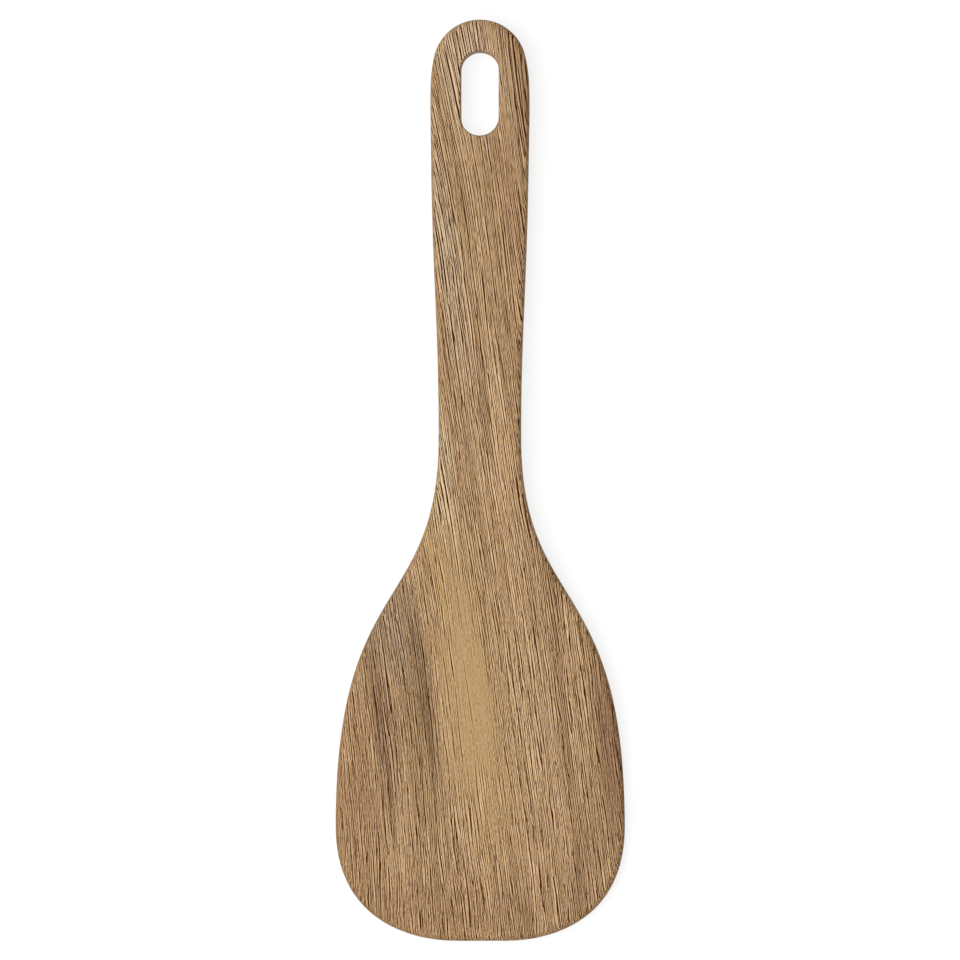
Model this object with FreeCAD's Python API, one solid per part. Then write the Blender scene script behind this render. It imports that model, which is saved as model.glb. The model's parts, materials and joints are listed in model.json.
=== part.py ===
import FreeCAD, Part
import math
import os

# A rice paddle sawn, tapered and sanded from one board of wood.
#
# Frame, in millimetres: the paddle lies on its flat back with its face up, +Z up and its length along Y.
# The tip of the blade is at -Y and the handle's end at +Y. The origin is under the middle, on the back.

# Lengthwise sizes
paddle_length = 220.0
blade_widest_from_tip = 27.4
neck_from_tip = 120.6
handle_widest_from_end = 17.0

# Crosswise sizes: the handle swells by so much on each side, from the neck to its widest place
blade_width = 69.2
neck_width = 19.7
handle_swell = 1.95
tip_straight_width = 12.4

# How far the blade's outline runs on along its own direction at each key point before it starts to bend.
# The larger the reach, the fuller the curve there.
tip_reach = 8.2
corner_reach = 24.1
flank_reach = 61.2
flare_reach = 42.6

# Arcs of the handle's outline: hollow above the neck, and full where the sides turn in to the round end
throat_length = 30.7
shoulder_radius = 38.0

# Thickness: level along the handle, then thinning in one fair curve from the neck to the tip
handle_thickness = 8.0
tip_thickness = 3.6
blade_level_reach = 35.0
tip_slope_reach = 60.0
tip_slope_rise = 1.6

# Hanging slot in the handle
slot_width = 9.0
slot_length = 20.0
end_wall = 7.7

# Edges: the rim is sanded round, and the slot has a narrow bevel
rim_radius = 1.5
slot_bevel = 0.5

# How far a cutting tool stands past the wood, so that it cuts clean through
overcut = 5.0

# A face is level, and not a side, where its normal leans no further from upright than this
level_lean_degrees = 35.0

tip_x = tip_straight_width / 2
blade_x = blade_width / 2
neck_x = neck_width / 2
handle_x = neck_x + handle_swell

tip_y = -paddle_length / 2
end_y = paddle_length / 2
blade_y = tip_y + blade_widest_from_tip
neck_y = tip_y + neck_from_tip
handle_y = end_y - handle_widest_from_end
slot_y = end_y - end_wall - slot_length / 2


def line(start, end):
    return Part.LineSegment(FreeCAD.Vector(*start), FreeCAD.Vector(*end)).toShape()


def bezier(*points):
    """One cubic stretch of curve through its first and last point, pulled towards the two between."""
    curve = Part.BezierCurve()
    curve.setPoles([FreeCAD.Vector(*point) for point in points])
    return curve.toShape()


def arc(centre_x, centre_y, radius, start, end):
    """An arc in plan from one angle to another, in radians."""
    points = []
    for angle in (start, (start + end) / 2, end):
        x = centre_x + radius * math.cos(angle)
        y = centre_y + radius * math.sin(angle)
        points.append(FreeCAD.Vector(x, y, 0))
    return Part.Arc(*points).toShape()


def blade_outline():
    """One side of the blade: the full corner at the tip, then the flank and its flare into the neck."""
    corner = bezier(
        (tip_x, tip_y, 0),
        (tip_x + tip_reach, tip_y, 0),
        (blade_x, blade_y - corner_reach, 0),
        (blade_x, blade_y, 0),
    )
    flank_and_flare = bezier(
        (blade_x, blade_y, 0),
        (blade_x, blade_y + flank_reach, 0),
        (neck_x, neck_y - flare_reach, 0),
        (neck_x, neck_y, 0),
    )
    return [corner, flank_and_flare]


def handle_outline():
    """One side of the handle: two arcs along one line, hollow at the throat and full at the grip."""
    length = handle_y - neck_y
    both_radii = (length**2 + handle_swell**2) / (2 * handle_swell)
    throat_radius = both_radii * throat_length / length
    grip_radius = both_radii - throat_radius
    throat_centre_x = neck_x + throat_radius
    grip_centre_x = handle_x - grip_radius
    lean = math.atan2(length, throat_centre_x - grip_centre_x)
    throat = arc(throat_centre_x, neck_y, throat_radius, math.pi, math.pi - lean)
    grip = arc(grip_centre_x, handle_y, grip_radius, -lean, 0)
    return [throat, grip]


def crown_outline():
    """One side of the handle's end: the shoulder's arc runs into the round crown along one line."""
    rise = handle_widest_from_end
    crown_radius = (2 * handle_x * shoulder_radius - handle_x**2 - rise**2) / (2 * (shoulder_radius - rise))
    shoulder_centre_x = handle_x - shoulder_radius
    crown_centre_y = end_y - crown_radius
    lean = math.atan2(crown_centre_y - handle_y, -shoulder_centre_x)
    shoulder = arc(shoulder_centre_x, handle_y, shoulder_radius, 0, lean)
    crown = arc(0, crown_centre_y, crown_radius, lean, math.pi / 2)
    return [shoulder, crown]


def sawn_blank():
    """The board sawn to the outline, at the full thickness of the handle."""
    tip = line((-tip_x, tip_y, 0), (tip_x, tip_y, 0))
    right = blade_outline() + handle_outline() + crown_outline()
    left = [edge.mirror(FreeCAD.Vector(0, 0, 0), FreeCAD.Vector(1, 0, 0)) for edge in right]
    outline = Part.Wire([tip, *right, *reversed(left)])
    return Part.Face(outline).extrude(FreeCAD.Vector(0, 0, handle_thickness + overcut))


def thickness_wedge():
    """Everything under the paddle's face: a flat back, a level handle, and a blade that falls to the tip."""
    half = blade_x + overcut
    past_end_y = end_y + overcut
    past_tip_y = tip_y - overcut
    past_tip_z = tip_thickness - overcut * tip_slope_rise / tip_slope_reach
    back = line((-half, past_tip_y, 0), (-half, past_end_y, 0))
    end = line((-half, past_end_y, 0), (-half, past_end_y, handle_thickness))
    handle_face = line((-half, past_end_y, handle_thickness), (-half, neck_y, handle_thickness))
    blade_face = bezier(
        (-half, neck_y, handle_thickness),
        (-half, neck_y - blade_level_reach, handle_thickness),
        (-half, tip_y + tip_slope_reach, tip_thickness + tip_slope_rise),
        (-half, past_tip_y, past_tip_z),
    )
    tip = line((-half, past_tip_y, past_tip_z), (-half, past_tip_y, 0))
    section = Part.Face(Part.Wire([back, end, handle_face, blade_face, tip]))
    return section.extrude(FreeCAD.Vector(2 * half, 0, 0))


def level_faces(shape):
    """The face and the back: the faces that look mostly up or down."""
    least_upright = math.cos(math.radians(level_lean_degrees))
    found = []
    for face in shape.Faces:
        u_low, u_high, v_low, v_high = face.ParameterRange
        normal = face.normalAt((u_low + u_high) / 2, (v_low + v_high) / 2)
        if abs(normal.z) > least_upright:
            found.append(face)
    return found


def round_rim(shape):
    """Sands the rim round, all the way along the face and the back."""
    edges = [edge for face in level_faces(shape) for edge in face.OuterWire.Edges]
    # The line across the neck, where the level handle meets the blade, bounds two faces and is no rim.
    rim = [edge for edge in edges if sum(edge.isSame(other) for other in edges) == 1]
    return shape.makeFillet(rim_radius, rim)


def slot_cutter():
    """A round-ended slot, as a router cuts it, right through the handle."""
    radius = slot_width / 2
    low_y = slot_y - slot_length / 2 + radius
    high_y = slot_y + slot_length / 2 - radius
    right = line((radius, low_y, 0), (radius, high_y, 0))
    top = arc(0, high_y, radius, 0, math.pi)
    left = line((-radius, high_y, 0), (-radius, low_y, 0))
    bottom = arc(0, low_y, radius, math.pi, 2 * math.pi)
    section = Part.Face(Part.Wire([right, top, left, bottom]))
    section.translate(FreeCAD.Vector(0, 0, -overcut))
    return section.extrude(FreeCAD.Vector(0, 0, handle_thickness + 2 * overcut))


def cut_slot(shape):
    """Routs the hanging slot and bevels its edges."""
    slotted = shape.cut(slot_cutter())
    mouths = []
    for face in level_faces(slotted):
        for wire in face.Wires:
            if not wire.isSame(face.OuterWire):
                mouths.extend(wire.Edges)
    return slotted.makeChamfer(slot_bevel, mouths)


def paddle():
    tapered = sawn_blank().common(thickness_wedge())
    return cut_slot(round_rim(tapered))


os.makedirs("parts", exist_ok=True)
wood = paddle()
print("paddle valid", wood.isValid(), "solids", len(wood.Solids), "volume cm3", round(wood.Volume / 1000, 2))
wood.exportStep("parts/paddle.step")
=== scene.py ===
import json
import math

import bpy
import numpy as np
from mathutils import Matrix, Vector
from mathutils.geometry import delaunay_2d_cdt


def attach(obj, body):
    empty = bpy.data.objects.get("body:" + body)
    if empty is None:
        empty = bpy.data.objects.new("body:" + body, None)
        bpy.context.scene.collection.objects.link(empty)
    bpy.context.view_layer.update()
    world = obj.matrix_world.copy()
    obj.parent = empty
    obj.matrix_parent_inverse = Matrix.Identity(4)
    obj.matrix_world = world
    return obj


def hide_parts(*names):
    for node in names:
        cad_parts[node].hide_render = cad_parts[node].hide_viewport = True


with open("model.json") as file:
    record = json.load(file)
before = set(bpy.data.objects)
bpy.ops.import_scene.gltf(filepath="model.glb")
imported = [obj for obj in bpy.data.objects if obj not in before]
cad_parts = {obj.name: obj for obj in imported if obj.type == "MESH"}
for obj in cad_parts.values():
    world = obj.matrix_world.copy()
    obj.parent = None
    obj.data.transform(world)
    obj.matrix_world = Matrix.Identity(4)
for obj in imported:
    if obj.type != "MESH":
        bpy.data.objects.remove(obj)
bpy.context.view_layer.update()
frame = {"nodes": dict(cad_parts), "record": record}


# The blank
#
# One board of acacia, bandsawn to its outline and planed thinner from the neck to the tip.
# Its rim is sanded round, and a router cuts the slot that it hangs by. Nothing is glued or fixed to it.

MM = 0.001
cad_mesh = frame["nodes"]["paddle"].data
cad_points = np.array([vertex.co for vertex in cad_mesh.vertices]) / MM


def points_of_faces(wanted):
    """The corners, in millimetres, of the CAD faces whose normal is wanted."""
    corners = {corner for face in cad_mesh.polygons if wanted(face.normal) for corner in face.vertices}
    return cad_points[sorted(corners)]


def apart(rows, least):
    """Drops each row that lies closer than least to the one kept before it."""
    kept = [rows[0]]
    for row in rows[1:]:
        if np.linalg.norm(row - kept[-1]) > least:
            kept.append(row)
    return np.array(kept)


def smooth_through(knots, values, places):
    """Reads a smooth curve that runs through values at knots."""
    slopes = np.gradient(values, knots, axis=0, edge_order=2)
    high = np.clip(np.searchsorted(knots, places), 1, len(knots) - 1)
    low = high - 1
    step = (knots[high] - knots[low])[:, None]
    t = (places - knots[low])[:, None] / step
    from_low = (1 + 2 * t) * values[low] + t * step * slopes[low]
    from_high = (3 - 2 * t) * values[high] - (1 - t) * step * slopes[high]
    return (1 - t) ** 2 * from_low + t**2 * from_high


def closed_loop(right_half):
    """A loop from its right half, with the direction that points out of it at each of its points."""
    left_half = right_half[-2:0:-1] * [-1, 1]
    loop = np.vstack([right_half, left_half])
    along = np.roll(loop, -1, axis=0) - np.roll(loop, 1, axis=0)
    along /= np.linalg.norm(along, axis=1)[:, None]
    return loop, np.stack([along[:, 1], -along[:, 0]], axis=1)


# The slot's place and size are those of its mount. Its sides are straight and its ends round.
SLOT_STEPS = 24
slot_mount = next(mount for mount in frame["record"]["mounts"] if mount["name"] == "hanging_slot")
slot_y = slot_mount["pos_m"][1] / MM
slot_radius = slot_mount["dims"]["hole_r_mm"]
slot_straight = slot_mount["dims"]["slot_length_mm"] / 2 - slot_radius
turns = np.linspace(-math.pi / 2, math.pi / 2, SLOT_STEPS)
slot_x = slot_radius * np.cos(turns)
slot_rise = np.where(turns > 0, slot_straight, -slot_straight) + slot_radius * np.sin(turns)
slot, out_of_slot = closed_loop(np.stack([slot_x, slot_y + slot_rise], axis=1))

# The rim's radius is how far the back is drawn in. The outline in plan is read where the upright walls end
# above the rounding at the back: its right half, from the tip to the handle's end.
KNOT_SPACING = 0.8
RIM_STEP = 0.5
SLACK = 0.05
UPRIGHT = 0.05
LEVEL = 0.9999
walls = points_of_faces(lambda normal: abs(normal.z) < UPRIGHT)
back = points_of_faces(lambda normal: normal.z < -LEVEL)
rim_radius = walls[:, 0].max() - back[:, 0].max()
walls = walls[abs(walls[:, 2] - rim_radius) < SLACK]
past_slot = (walls[:, 0] > 2 * slot_radius) | (abs(walls[:, 1] - slot_y) > slot_straight + 2 * slot_radius)
half = walls[(walls[:, 0] >= 0) & past_slot][:, :2]
half = half[np.argsort(half[:, 1])]
tip, end = np.array([0, half[0, 1]]), np.array([0, half[-1, 1]])
half = np.vstack([apart(np.vstack([tip, half]), KNOT_SPACING)[:-1], end])
run = np.concatenate([[0], np.cumsum(np.linalg.norm(np.diff(half, axis=0), axis=1))])
half = smooth_through(run, half, np.linspace(0, run[-1], int(run[-1] / RIM_STEP)))
outline, out_of_outline = closed_loop(np.clip(half, [0, tip[1]], [half[:, 0].max(), end[1]]))

# The thickness along the paddle is read from the face, inside its rounded rim.
NEARLY_LEVEL = 0.995
face_points = points_of_faces(lambda normal: normal.z > NEARLY_LEVEL)
from_outline = np.linalg.norm(face_points[:, None, :2] - outline, axis=2).min(axis=1)
face_knots = face_points[from_outline > rim_radius - SLACK][:, 1:]
face_knots = apart(face_knots[np.argsort(face_knots[:, 0])], KNOT_SPACING)


def thickness(y):
    """The height of the face over the back, for an array of y."""
    on_face = np.clip(y, face_knots[0, 0], face_knots[-1, 0])
    height = smooth_through(face_knots[:, 0], face_knots[:, 1:], on_face)[:, 0]
    return height.clip(max=face_knots[:, 1].max())


# The face and the back share one net of points, finer across the grain than along it.
ACROSS = 0.32
ALONG = 1.15
CLEAR = 0.3
SLOT_EASE = 0.5
rim_loop = outline - rim_radius * out_of_outline
mouth_loop = slot + SLOT_EASE * out_of_slot
rim_half = rim_loop[: len(half)]
net = []
for number, y in enumerate(np.arange(rim_half[0, 1] + ALONG / 2, rim_half[-1, 1], ALONG)):
    reach = np.interp(y, rim_half[:, 1], rim_half[:, 0]) - CLEAR
    stagger = ACROSS / 2 * (number % 2)
    past_straight = max(abs(y - slot_y) - slot_straight, 0)
    for x in np.arange(-reach + stagger, reach, ACROSS):
        if math.hypot(x, past_straight) > slot_radius + SLOT_EASE + CLEAR:
            net.append((x, y))
plan = np.vstack([rim_loop, mouth_loop, net])
rim_ring = list(range(len(rim_loop)))
mouth_ring = list(range(len(rim_loop), len(rim_loop) + len(mouth_loop)))

INSIDE_EDGES = 1
SAME_POINT = 1e-6
edges = [(ring[i - 1], ring[i]) for ring in (rim_ring, mouth_ring) for i in range(len(ring))]
filled = delaunay_2d_cdt([Vector(point) for point in plan], edges, [], INSIDE_EDGES, SAME_POINT)
place_in_plan = [sources[0] for sources in filled[3]]
triangles = [[place_in_plan[corner] for corner in triangle] for triangle in filled[2]]
triangles = [triangle for triangle in triangles if not set(triangle) <= set(mouth_ring)]

points = [*np.column_stack([plan, thickness(plan[:, 1])]), *np.column_stack([plan, np.zeros(len(plan))])]
faces = triangles + [[corner + len(plan) for corner in reversed(triangle)] for triangle in triangles]

# Rings of points carry the face over the rim, or through the slot, to the back.
ROUND_STEPS = 7
WALL_STEPS = 3


def wrap_edge(ring, loop, into_wood, radius, turned):
    """Rounds the edge at the face, runs straight down the wall and rounds the edge at the back."""
    angles = np.linspace(0, math.pi / 2, ROUND_STEPS + 1)[1:]
    rounding = [(radius * (1 - math.sin(angle)), radius * (1 - math.cos(angle))) for angle in angles]
    levels = [(inset, drop, 1) for inset, drop in rounding]
    levels += [(0, radius, share) for share in np.linspace(1, 0, WALL_STEPS + 1)[1:-1]]
    levels += [(inset, drop, 0) for inset, drop in reversed(rounding)]
    above = ring
    for inset, drop, share in levels:
        flat = loop + inset * into_wood
        z = share * (thickness(flat[:, 1]) - drop) + (1 - share) * drop
        below = list(range(len(points), len(points) + len(loop)))
        points.extend(np.column_stack([flat, z]))
        join_rings(above, below, turned)
        above = below
    join_rings(above, [corner + len(plan) for corner in ring], turned)


def join_rings(above, below, turned):
    """Closes the strip between two rings with faces that point out of the wood."""
    for i in range(len(above)):
        quad = [above[i - 1], below[i - 1], below[i], above[i]]
        faces.append(quad[::-1] if turned else quad)


wrap_edge(rim_ring, outline, -out_of_outline, rim_radius, turned=False)
wrap_edge(mouth_ring, slot, out_of_slot, SLOT_EASE, turned=True)

blank = bpy.data.meshes.new("blank")
blank.from_pydata([Vector(point) * MM for point in points], [], faces)
blank.shade_smooth()
paddle = bpy.data.objects.new("paddle_board", blank)
bpy.context.scene.collection.objects.link(paddle)


# The grain
#
# The board was cut a little askew, so its grain leans across the paddle, and its growth layers lie slanted.
# Sanding cuts the soft early growth a little deeper than the hard late growth, and leaves slow waves.

# The grain leans, fans out and stretches along the paddle. Each is a power series in y, with these factors.
LEAN = (0.15, 0.00015, -0.0000016)
FAN = (-0.0006, -0.00001)
STRETCH = (1.0, -0.0022)

# The layers slant across the board, and from the neck on they sink towards the tip as the face does.
SLANT = 0.3
TAPER_FROM = 10.0
TAPER_TO = -130.0
TAPER = 4.0

# The grain sways slowly from side to side.
SWAY_SIZE = (24.0, 70.0, 24.0)
SWAY = 2.4


def node(tree, kind, inputs, out=0, **settings):
    """Adds a node with its settings. An input is a plain value, or the socket it is linked from."""
    added = tree.nodes.new(kind)
    for name, value in settings.items():
        setattr(added, name, value)
    for place, value in inputs.items():
        if isinstance(value, bpy.types.NodeSocket):
            tree.links.new(value, added.inputs[place])
        else:
            added.inputs[place].default_value = value
    return added.outputs[out] if len(added.outputs) else None


# Each seed reads the noise this many cells further on.
SEED_CELLS = (7.31, 3.57, 5.83)


def stretched_noise(tree, grain, size, seed, dimensions="3D"):
    """Noise whose cells measure size, in millimetres across the grain, along it and through the board."""
    per_cell = [1 / length for length in size]
    shift = [cells * seed for cells in SEED_CELLS]
    cells = node(tree, "ShaderNodeVectorMath", {0: grain, 1: per_cell, 2: shift}, operation="MULTIPLY_ADD")
    inputs = {"Vector": cells, "Scale": 1.0, "Detail": 0.0}
    return node(tree, "ShaderNodeTexNoise", inputs, noise_dimensions=dimensions)


def shifted(tree, place, noise, reach):
    """Moves a place by up to half of reach either way."""
    centred = node(tree, "ShaderNodeMath", {0: noise, 1: 0.5}, operation="SUBTRACT")
    shift = node(tree, "ShaderNodeVectorMath", {0: reach, "Scale": centred}, operation="SCALE")
    return node(tree, "ShaderNodeVectorMath", {0: place, 1: shift}, operation="ADD")


def power_series(tree, y, factors):
    """Adds up y times the first factor, y squared times the second, and so on."""
    total = 0.0
    for factor in reversed(factors):
        inner = node(tree, "ShaderNodeMath", {0: total, 1: factor}, operation="ADD")
        total = node(tree, "ShaderNodeMath", {0: inner, 1: y}, operation="MULTIPLY")
    return total


def grain_space(tree, position):
    """Millimetres across the grain, along it and through the board, from a position in metres."""
    place = node(tree, "ShaderNodeVectorMath", {0: position, "Scale": 1 / MM}, operation="SCALE")
    x, y, z = node(tree, "ShaderNodeSeparateXYZ", {0: place}).node.outputs
    across = node(tree, "ShaderNodeMath", {0: x, 1: power_series(tree, y, LEAN)}, operation="ADD")
    across = node(
        tree, "ShaderNodeMath", {0: x, 1: power_series(tree, y, FAN), 2: across}, operation="MULTIPLY_ADD"
    )
    across = node(tree, "ShaderNodeMath", {0: z, 1: SLANT, 2: across}, operation="MULTIPLY_ADD")
    fall = {0: y, 1: TAPER_FROM, 2: TAPER_TO, 3: 0.0, 4: TAPER}
    fall = node(tree, "ShaderNodeMapRange", fall, interpolation_type="SMOOTHSTEP")
    through = node(tree, "ShaderNodeMath", {0: z, 1: fall}, operation="ADD")
    grain = node(tree, "ShaderNodeCombineXYZ", {0: across, 1: power_series(tree, y, STRETCH), 2: through})
    return shifted(tree, grain, stretched_noise(tree, place, SWAY_SIZE, seed=1), (SWAY, 0.0, 0.0))


GROWTH_SIZE = (1.7, 45.0, 2.5)
WAVE_SIZE = (9.0, 40.0, 9.0)

relief = bpy.data.node_groups.new("Raised grain", "GeometryNodeTree")
relief.interface.new_socket("Geometry", in_out="INPUT", socket_type="NodeSocketGeometry")
growth_input = relief.interface.new_socket("Growth depth", in_out="INPUT", socket_type="NodeSocketFloat")
wave_input = relief.interface.new_socket("Wave depth", in_out="INPUT", socket_type="NodeSocketFloat")
wood_input = relief.interface.new_socket("Wood", in_out="INPUT", socket_type="NodeSocketMaterial")
relief.interface.new_socket("Geometry", in_out="OUTPUT", socket_type="NodeSocketGeometry")
given = relief.nodes.new("NodeGroupInput").outputs
grain = grain_space(relief, node(relief, "GeometryNodeInputPosition", {}))
growth = stretched_noise(relief, grain, GROWTH_SIZE, seed=2)
wave = stretched_noise(relief, grain, WAVE_SIZE, seed=3)
sunk = node(relief, "ShaderNodeMath", {0: growth, 1: given["Growth depth"]}, operation="MULTIPLY")
sunk = node(relief, "ShaderNodeMath", {0: wave, 1: given["Wave depth"], 2: sunk}, operation="MULTIPLY_ADD")
inward = node(relief, "ShaderNodeMath", {0: sunk, 1: -1.0}, operation="MULTIPLY")
normal = node(relief, "GeometryNodeInputNormal", {})
offset = node(relief, "ShaderNodeVectorMath", {0: normal, "Scale": inward}, operation="SCALE")
moved = node(relief, "GeometryNodeSetPosition", {"Geometry": given["Geometry"], "Offset": offset})
realized = node(relief, "GeometryNodeRealizeInstances", {"Geometry": moved})
finished = node(relief, "GeometryNodeSetMaterial", {"Geometry": realized, "Material": given["Wood"]})
node(relief, "NodeGroupOutput", {"Geometry": finished})


# The wood
#
# Oiled acacia: open-pored heartwood in tan and grey-brown, with a paler golden streak down the blade.
# The oil leaves a satin skin, a little rougher where the vessels are open.


def linear(hex_colour):
    """An sRGB colour such as a68764 as linear light."""
    shares = [int(hex_colour[i : i + 2], 16) / 255 for i in (0, 2, 4)]
    return [s / 12.92 if s <= 0.04045 else ((s + 0.055) / 1.055) ** 2.4 for s in shares] + [1.0]


# Broad bands and the growth layers together carry the heartwood from its dark to its pale colour.
HEARTWOOD_DARK = "a17c50"
HEARTWOOD_PALE = "bd9568"
BAND_SIZE = (7.0, 120.0, 9.0)
DARK_LEVEL = 0.65
PALE_LEVEL = 1.35

wood = bpy.data.materials.new("oiled_acacia")
wood.use_nodes = True
tree = wood.node_tree
tree.nodes.clear()
place = node(tree, "ShaderNodeTexCoord", {}, out="Object")
grain = grain_space(tree, place)
growth = stretched_noise(tree, grain, GROWTH_SIZE, seed=2)
band = stretched_noise(tree, grain, BAND_SIZE, seed=4)
band_and_growth = node(tree, "ShaderNodeMath", {0: band, 1: growth}, operation="ADD")
share = node(tree, "ShaderNodeMapRange", {0: band_and_growth, 1: DARK_LEVEL, 2: PALE_LEVEL})
heartwood = {0: share, 6: linear(HEARTWOOD_DARK), 7: linear(HEARTWOOD_PALE)}
colour = node(tree, "ShaderNodeMix", heartwood, out=2, data_type="RGBA")

# Streaks: middle on the face, half-width and half-length in millimetres, colour, strength, grain
STREAKS = [
    (-2.0, -53.0, 11.5, 60.0, "be9865", 0.9, 0.0),
    (-10.4, -22.0, 4.0, 14.0, "bf985c", 0.5, 0.6),
    (-8.8, 3.0, 4.0, 24.0, "bf9f73", 0.85, 2.2),
    (-30.0, -72.0, 8.0, 52.0, "9f744a", 0.6, 1.0),
    (-15.0, -102.0, 28.0, 18.0, "987046", 0.6, 1.0),
    (-14.2, -54.0, 6.0, 48.0, "8d6a40", 0.7, 1.3),
    (-12.6, -54.0, 2.8, 38.0, "73522c", 0.75, 1.4),
    (-23.2, -58.0, 3.6, 42.0, "765331", 0.8, 1.2),
    (2.4, -39.0, 2.2, 38.0, "96723f", 0.45, 2.2),
    (9.5, -54.0, 4.0, 38.0, "ba9567", 0.6, 1.6),
    (32.6, -65.0, 5.6, 52.0, "7e5735", 0.75, 0.7),
    (27.6, -88.0, 3.6, 20.0, "835d3a", 0.5, 1.1),
    (23.3, -95.0, 2.5, 14.0, "785632", 0.6, 1.2),
    (10.6, -105.0, 2.0, 9.0, "805c36", 0.6, 1.2),
    (-7.8, 52.6, 4.2, 46.0, "a88a66", 0.65, 2.8),
    (-3.0, 58.6, 1.8, 18.0, "84633c", 0.15, 1.4),
    (7.8, 58.6, 3.5, 22.0, "a07650", 0.6, 1.0),
    (-3.0, 102.0, 9.0, 14.0, "bd9b78", 0.6, 1.0),
    (-7.8, 92.0, 2.6, 16.0, "b89a70", 0.6, 1.2),
    (10.4, 90.0, 2.6, 18.0, "7c5638", 0.45, 0.9),
    (21.8, -66.0, 3.2, 46.0, "856038", 0.6, 1.2),
    (1.8, 22.0, 2.4, 20.0, "8a673e", 0.65, 1.2),
    (15.0, -102.0, 26.0, 14.0, "99714a", 0.4, 1.0),
    (-22.0, -30.0, 8.0, 26.0, "8d7458", 0.5, 1.1),
    (10.0, 68.0, 2.2, 16.0, "986a3f", 0.4, 1.1),
    (17.5, -24.0, 4.0, 20.0, "84603a", 0.5, 1.2),
    (12.0, -16.0, 2.6, 12.0, "8a6640", 0.45, 1.2),
    (-19.6, -68.0, 2.2, 22.0, "8a673f", 0.5, 1.2),
    (5.2, -80.0, 5.0, 24.0, "ba9461", 0.5, 0.4),
    (-10.6, -9.0, 3.0, 12.0, "c09e69", 0.4, 1.4),
]

# A streak fades from its core to its edge. It ends in long tongues, and its sides follow the growth layers.
FACE_HEIGHT = 7.7
STREAK_DEPTH = 14.0
STREAK_CORE = 0.3
TONGUE_SIZE = (1.4, 60.0, 4.0)
TONGUE_LENGTH = 30.0
RAGGED_WIDTH = 3.4


def value_of_series(y, factors):
    """What power_series gives for one y."""
    return sum(factor * y ** (power + 1) for power, factor in enumerate(factors))


tongue = stretched_noise(tree, grain, TONGUE_SIZE, seed=9)
tongued = shifted(tree, grain, tongue, (0.0, TONGUE_LENGTH, 0.0))
ragged = shifted(tree, tongued, growth, (RAGGED_WIDTH, 0.0, 0.0))
vivid = 1.0
for x, y, half_width, half_length, streak_colour, strength, grain_strength in STREAKS:
    across = x * (1 + value_of_series(y, FAN)) + value_of_series(y, LEAN)
    across += SLANT * thickness(np.array([y]))[0]
    along = value_of_series(y, STRETCH)
    centred = {
        "Vector": ragged,
        "Location": (across, along, FACE_HEIGHT),
        "Scale": (half_width, half_length, STREAK_DEPTH),
    }
    inside = node(tree, "ShaderNodeMapping", centred, vector_type="TEXTURE")
    distance = node(tree, "ShaderNodeVectorMath", {0: inside}, out="Value", operation="LENGTH")
    share = node(tree, "ShaderNodeMapRange", {0: distance, 1: 1.0, 2: STREAK_CORE, 3: 0.0, 4: strength})
    tinted = {0: share, 6: colour, 7: linear(streak_colour)}
    colour = node(tree, "ShaderNodeMix", tinted, out=2, data_type="RGBA")
    vivid = node(tree, "ShaderNodeMix", {0: share, 2: vivid, 3: grain_strength})

# Vessels: dark grooves, a tenth to a fifth of a millimetre wide, open wherever the face cuts along them.
# Their rows lie side by side. A row is cut into layers, and a layer into runs with one vessel in each.
SEED_ROWS = 31.7
ROW_SHIFT = 97.0
LAYERS_PER_WIDTH = 0.4
LAYER_SHIFT = 0.37
WANDER_PITCHES = 0.8

# How much of its run a vessel reaches from its middle, at least and on top of that by luck, and its soft end
LEAST_REACH = 0.02
LUCKY_REACH = 0.55
SOFT_END = 0.15

# How heavy a vessel is, at least and on top of that by luck. Few are heavy.
LEAST_WEIGHT = 0.28
LUCKY_WEIGHT = 1.05
FEW_HEAVY = 3.0

# Where a groove and its pale flanks start and where they are full, in widths from the middle
GROOVE_EDGE = 0.75
GROOVE_FULL = 0.25
FLANK_EDGE = 2.2
FLANK_FULL = 0.8
FLANK_SHARE = 0.28


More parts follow.
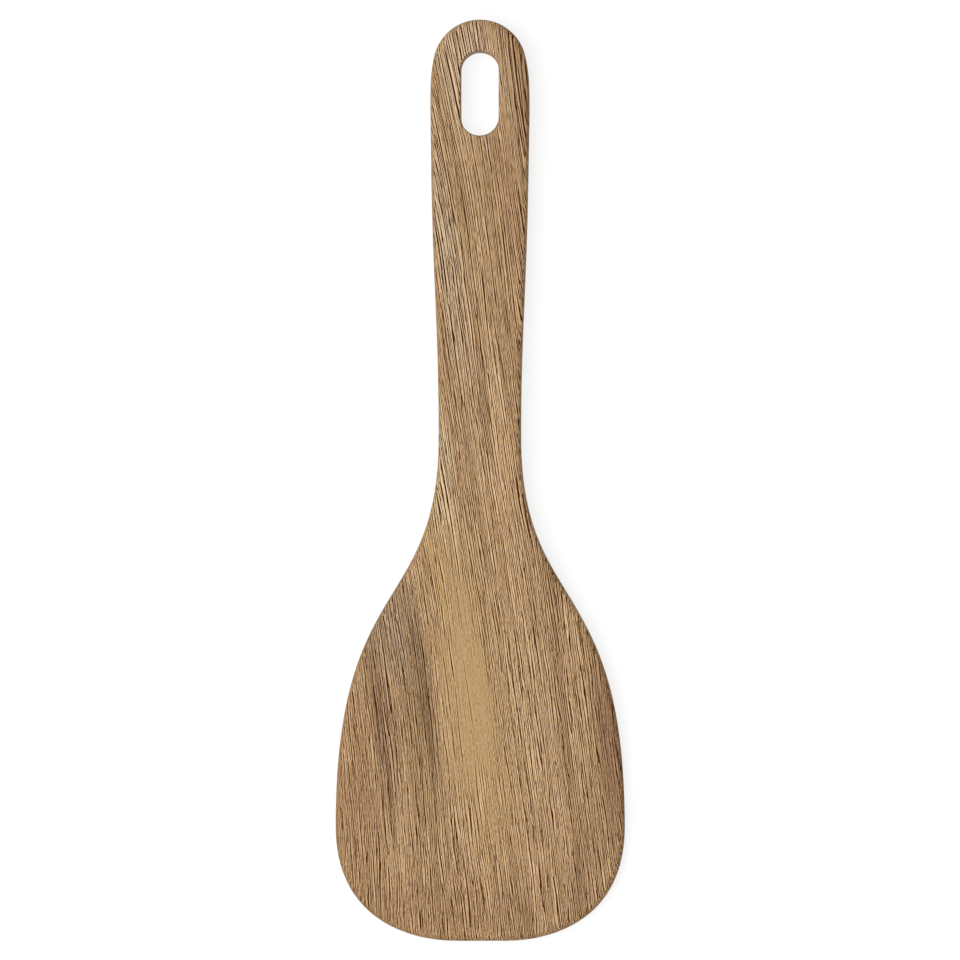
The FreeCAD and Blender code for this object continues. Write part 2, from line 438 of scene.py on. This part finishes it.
def vessels(tree, grain, pitch, width, length, seed):
    """Above 0 in a groove and below 0 along its flanks, so that the wood as a whole gets no darker."""
    wander = stretched_noise(tree, grain, (3 * pitch, 0.7 * length, 1.0), seed, dimensions="2D")
    wandering = shifted(tree, grain, wander, (WANDER_PITCHES * pitch, 0.0, 0.0))
    across, along, through = node(tree, "ShaderNodeSeparateXYZ", {0: wandering}).node.outputs
    row = {0: across, 1: 1 / pitch, 2: SEED_ROWS * seed}
    row = node(tree, "ShaderNodeMath", row, operation="MULTIPLY_ADD")
    number = node(tree, "ShaderNodeMath", {0: row}, operation="FLOOR")
    start = node(tree, "ShaderNodeTexWhiteNoise", {"W": number}, noise_dimensions="1D")
    start = node(tree, "ShaderNodeMath", {0: start, 1: ROW_SHIFT}, operation="MULTIPLY")
    deep = {0: through, 1: LAYERS_PER_WIDTH / width, 2: start}
    deep = node(tree, "ShaderNodeMath", deep, operation="MULTIPLY_ADD")
    layer = node(tree, "ShaderNodeMath", {0: deep}, operation="FLOOR")
    run = node(tree, "ShaderNodeMath", {0: along, 1: 1 / length, 2: start}, operation="MULTIPLY_ADD")
    run = node(tree, "ShaderNodeMath", {0: layer, 1: LAYER_SHIFT, 2: run}, operation="MULTIPLY_ADD")
    cells = node(tree, "ShaderNodeCombineXYZ", {0: row, 1: run, 2: deep})
    cell = node(tree, "ShaderNodeVectorMath", {0: cells}, operation="FLOOR")
    inside = node(tree, "ShaderNodeVectorMath", {0: cells}, operation="FRACTION")
    luck = node(tree, "ShaderNodeTexWhiteNoise", {"Vector": cell}, out="Color", noise_dimensions="3D")
    # A vessel lies halfway along its run, and somewhere in the middle half of its row.
    middle = {0: luck, 1: (0.5, 0.0, 0.0), 2: (0.25, 0.5, 0.0)}
    middle = node(tree, "ShaderNodeVectorMath", middle, operation="MULTIPLY_ADD")
    off = node(tree, "ShaderNodeVectorMath", {0: inside, 1: middle}, operation="SUBTRACT")
    off = node(tree, "ShaderNodeVectorMath", {0: off}, operation="ABSOLUTE")
    aside, ahead, _ = node(tree, "ShaderNodeSeparateXYZ", {0: off}).node.outputs
    _, reach, weight = node(tree, "ShaderNodeSeparateXYZ", {0: luck}).node.outputs
    reach = {0: reach, 1: LUCKY_REACH, 2: LEAST_REACH}
    reach = node(tree, "ShaderNodeMath", reach, operation="MULTIPLY_ADD")
    reach = node(tree, "ShaderNodeMath", {0: reach, 1: ahead}, operation="SUBTRACT")
    body = node(tree, "ShaderNodeMapRange", {0: reach, 1: 0.0, 2: SOFT_END})
    weight = node(tree, "ShaderNodeMath", {0: weight, 1: FEW_HEAVY}, operation="POWER")
    weight = {0: weight, 1: LUCKY_WEIGHT, 2: LEAST_WEIGHT}
    weight = node(tree, "ShaderNodeMath", weight, operation="MULTIPLY_ADD")
    body = node(tree, "ShaderNodeMath", {0: weight, 1: body}, operation="MULTIPLY")
    share = width / pitch
    groove = {0: aside, 1: GROOVE_EDGE * share, 2: GROOVE_FULL * share}
    groove = node(tree, "ShaderNodeMapRange", groove)
    flank = {0: aside, 1: FLANK_EDGE * share, 2: FLANK_FULL * share, 3: 0.0, 4: FLANK_SHARE}
    flank = node(tree, "ShaderNodeMapRange", flank)
    dark = node(tree, "ShaderNodeMath", {0: groove, 1: flank}, operation="SUBTRACT")
    return node(tree, "ShaderNodeMath", {0: dark, 1: body}, operation="MULTIPLY")


# On the rim and the walls the grooves are sanded away and show faintly.
# Depth counts from the face or the back, whichever is nearer. A power series in y stands for the face.
FIT_DEGREE = 8
FIT_POINTS = 400
FACE_ENDS = 0.15
WALL_STARTS = 0.7
WALL_SHARE = 0.1
places = np.linspace(tip[1], end[1], FIT_POINTS)
*factors, middle_height = np.polyfit(places, thickness(places), FIT_DEGREE)
bare = node(tree, "ShaderNodeVectorMath", {0: place, "Scale": 1 / MM}, operation="SCALE")
_, y, z = node(tree, "ShaderNodeSeparateXYZ", {0: bare}).node.outputs
height = power_series(tree, y, factors[::-1])
height = node(tree, "ShaderNodeMath", {0: height, 1: middle_height}, operation="ADD")
below_face = node(tree, "ShaderNodeMath", {0: height, 1: z}, operation="SUBTRACT")
depth = node(tree, "ShaderNodeMath", {0: below_face, 1: z}, operation="MINIMUM")
unsanded = {0: depth, 1: FACE_ENDS, 2: WALL_STARTS, 3: 1.0, 4: WALL_SHARE}
unsanded = node(tree, "ShaderNodeMapRange", unsanded)

# Pitch across the grain, width and longest length in millimetres, seed, strength
VESSELS = [
    (0.85, 0.2, 30.0, 5, 6.4),
    (0.6, 0.17, 17.0, 6, 5.4),
    (0.45, 0.14, 8.0, 10, 4.2),
    (0.34, 0.11, 4.0, 8, 2.8),
]
DRIFT_SIZE = (1.3, 30.0, 1.0)
DRIFT = 0.45
drift = stretched_noise(tree, grain, DRIFT_SIZE, seed=12, dimensions="2D")
drifting = shifted(tree, grain, drift, (DRIFT, 0.0, 0.0))
dark_lines = 0.0
for pitch, width, length, seed, strength in VESSELS:
    lines = {0: vessels(tree, drifting, pitch, width, length, seed), 1: strength, 2: dark_lines}
    dark_lines = node(tree, "ShaderNodeMath", lines, operation="MULTIPLY_ADD")

# The lines are heavier in the late growth than in the early growth. From here on, dark counts below 0.
LATE_GROWTH = 0.3
EARLY_GROWTH = 0.7
HEAVIER = -1.2
LIGHTER = -0.8
heaviness = {0: growth, 1: LATE_GROWTH, 2: EARLY_GROWTH, 3: HEAVIER, 4: LIGHTER}
heaviness = node(tree, "ShaderNodeMapRange", heaviness)
dark_lines = node(tree, "ShaderNodeMath", {0: dark_lines, 1: heaviness}, operation="MULTIPLY")
dark_lines = node(tree, "ShaderNodeMath", {0: dark_lines, 1: unsanded}, operation="MULTIPLY")

# Fibres are too fine to show, so their fleck is drawn coarser, a seventh of a millimetre wide.
# Turned by half a right angle about the grain, one flat pattern serves the face and the walls alike.
FLECK_SIZE = (0.14, 1.2, 0.4)
LIVELY_GRAIN = 2.0
CALM_FLECK = 0.5
LIVELY_FLECK = 1.2
turned = node(tree, "ShaderNodeMapping", {"Vector": grain, "Rotation": (0.0, math.radians(45), 0.0)})
fleck = stretched_noise(tree, turned, FLECK_SIZE, seed=7, dimensions="2D")
fleck = node(tree, "ShaderNodeMath", {0: fleck, 1: 0.5}, operation="SUBTRACT")
liveliness = {0: vivid, 1: 0.0, 2: LIVELY_GRAIN, 3: CALM_FLECK, 4: LIVELY_FLECK}
liveliness = node(tree, "ShaderNodeMapRange", liveliness)
fleck = node(tree, "ShaderNodeMath", {0: fleck, 1: liveliness}, operation="MULTIPLY")
fine = node(tree, "ShaderNodeMath", {0: dark_lines, 1: vivid, 2: fleck}, operation="MULTIPLY_ADD")

# Above 0 the fine grain brightens the wood, by a factor each for red, green and blue. Below 0 it darkens it.
# The brightening is partly paler fibre and partly a painted glint. Its whitish lift, strongest in blue, is
# painted sheen in the colour.
FIBRE_AND_GLINT = (1.75, 2.0, 2.45, 1.0)
FIBRE_AND_GLINT_FULL = 0.7
VESSEL = "6c4a20"
VESSEL_FULL = -1.0
for full, factor in ((FIBRE_AND_GLINT_FULL, FIBRE_AND_GLINT), (VESSEL_FULL, linear(VESSEL))):
    share = node(tree, "ShaderNodeMapRange", {0: fine, 1: 0.0, 2: full})
    tinted = {0: share, 6: colour, 7: factor}
    colour = node(tree, "ShaderNodeMix", tinted, out=2, data_type="RGBA", blend_type="MULTIPLY")

# The oil lies smooth on the face. In the open vessels it sinks in, and leaves them rough and without gloss.
OPEN = -0.6
OPEN_ROUGHNESS = 0.8
SKIN_ROUGHNESS = 0.55
OPEN_GLOSS = 0.05
SKIN_GLOSS = 0.35
gloss = node(tree, "ShaderNodeMapRange", {0: fine, 1: OPEN, 2: 0.0, 3: OPEN_GLOSS, 4: SKIN_GLOSS})
roughness = {0: fine, 1: OPEN, 2: 0.0, 3: OPEN_ROUGHNESS, 4: SKIN_ROUGHNESS}
roughness = node(tree, "ShaderNodeMapRange", roughness)

# The heaviest grooves are a fiftieth of a millimetre deep.
HEAVIEST = -6.0
GROOVE_DEPTH = 0.02
level = node(tree, "ShaderNodeMapRange", {0: dark_lines, 1: HEAVIEST, 2: 0.0})
bump = node(tree, "ShaderNodeBump", {"Height": level, "Distance": GROOVE_DEPTH * MM})
oiled = {
    "Base Color": colour,
    "Roughness": roughness,
    "IOR": 1.5,
    "Specular IOR Level": gloss,
    "Normal": bump,
}
shader = node(tree, "ShaderNodeBsdfPrincipled", oiled)
node(tree, "ShaderNodeOutputMaterial", {"Surface": shader})

# The raised grain is worked into the board's own mesh.
GROWTH_DEPTH = 0.05
WAVE_DEPTH = 0.05
modifier = paddle.modifiers.new("Raised grain", "NODES")
modifier.node_group = relief
modifier[growth_input.identifier] = GROWTH_DEPTH * MM
modifier[wave_input.identifier] = WAVE_DEPTH * MM
modifier[wood_input.identifier] = wood
evaluated = paddle.evaluated_get(bpy.context.evaluated_depsgraph_get())
finished_mesh = bpy.data.meshes.new_from_object(evaluated)
paddle.modifiers.remove(modifier)
paddle.data = finished_mesh
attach(paddle, "root")
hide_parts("paddle")


# The studio
#
# A pale floor that the camera sees as white, with the paddle's soft shadow kept on it.
# One large soft lamp stands high to the left, and an even sky fills the rest.

FLOOR_SIZE = 4.0
PAPER = "e6e6e6"
SHADOW_SHARE = 0.18
WHITE = 1.03


def seen_directly(tree):
    """1 for what the camera sees, also by gloss or through glass, and 0 for light that falls on the wood."""
    ray = tree.nodes.new("ShaderNodeLightPath").outputs
    seen = ray["Is Camera Ray"]
    for kind in ("Is Glossy Ray", "Is Transmission Ray"):
        seen = node(tree, "ShaderNodeMath", {0: seen, 1: ray[kind]}, operation="MAXIMUM")
    return seen


floor_mesh = bpy.data.meshes.new("floor")
reach = FLOOR_SIZE / 2
corners = [(-reach, -reach, 0), (reach, -reach, 0), (reach, reach, 0), (-reach, reach, 0)]
floor_mesh.from_pydata(corners, [], [(0, 1, 2, 3)])
floor = bpy.data.objects.new("floor", floor_mesh)
bpy.context.scene.collection.objects.link(floor)
paper = bpy.data.materials.new("white_paper")
paper.use_nodes = True
tree = paper.node_tree
tree.nodes.clear()
plain = node(tree, "ShaderNodeBsdfDiffuse", {"Color": linear(PAPER)})
faint = node(tree, "ShaderNodeBsdfDiffuse", {"Color": (SHADOW_SHARE, SHADOW_SHARE, SHADOW_SHARE, 1.0)})
glow = node(tree, "ShaderNodeEmission", {"Color": (1, 1, 1, 1), "Strength": WHITE - SHADOW_SHARE})
white = node(tree, "ShaderNodeAddShader", {0: faint, 1: glow})
surface = node(tree, "ShaderNodeMixShader", {0: seen_directly(tree), 1: plain, 2: white})
node(tree, "ShaderNodeOutputMaterial", {"Surface": surface})
floor_mesh.materials.append(paper)

SKY = 0.12
world = bpy.data.worlds.new("studio")
bpy.context.scene.world = world
world.use_nodes = True
tree = world.node_tree
tree.nodes.clear()
strength = node(tree, "ShaderNodeMapRange", {0: seen_directly(tree), 3: SKY, 4: 1.0})
sky = node(tree, "ShaderNodeBackground", {"Color": (1, 1, 1, 1), "Strength": strength})
node(tree, "ShaderNodeOutputWorld", {"Surface": sky})

KEY_PLACE = Vector((-0.55, -0.03, 1.6))
KEY_SIZE = 1.0
KEY_POWER = 26.0
key = bpy.data.lights.new("key", "AREA")
key.shape = "SQUARE"
key.size = KEY_SIZE
key.energy = KEY_POWER
key_lamp = bpy.data.objects.new("key", key)
key_lamp.location = KEY_PLACE
key_lamp.rotation_euler = (-KEY_PLACE).to_track_quat("-Z", "Y").to_euler()
bpy.context.scene.collection.objects.link(key_lamp)

# The camera looks down on the face from 1.5 m, 45 mm to the right of the middle.
CAMERA_PLACE = Vector((0.045, 0.0002, 1.5))
AIM = Vector((0.0, 0.0002, 0.004))
VIEW_WIDTH = 0.2292
SENSOR = 36.0
lens = bpy.data.cameras.new("camera")
lens.sensor_width = SENSOR
lens.lens = SENSOR * (CAMERA_PLACE - AIM).length / VIEW_WIDTH
camera = bpy.data.objects.new("camera", lens)
camera.location = CAMERA_PLACE
tilt = math.atan2(CAMERA_PLACE.x - AIM.x, CAMERA_PLACE.z - AIM.z)
camera.rotation_euler = (0, tilt, 0)
bpy.context.scene.collection.objects.link(camera)
bpy.context.scene.camera = camera
bpy.context.scene.view_settings.view_transform = "Standard"
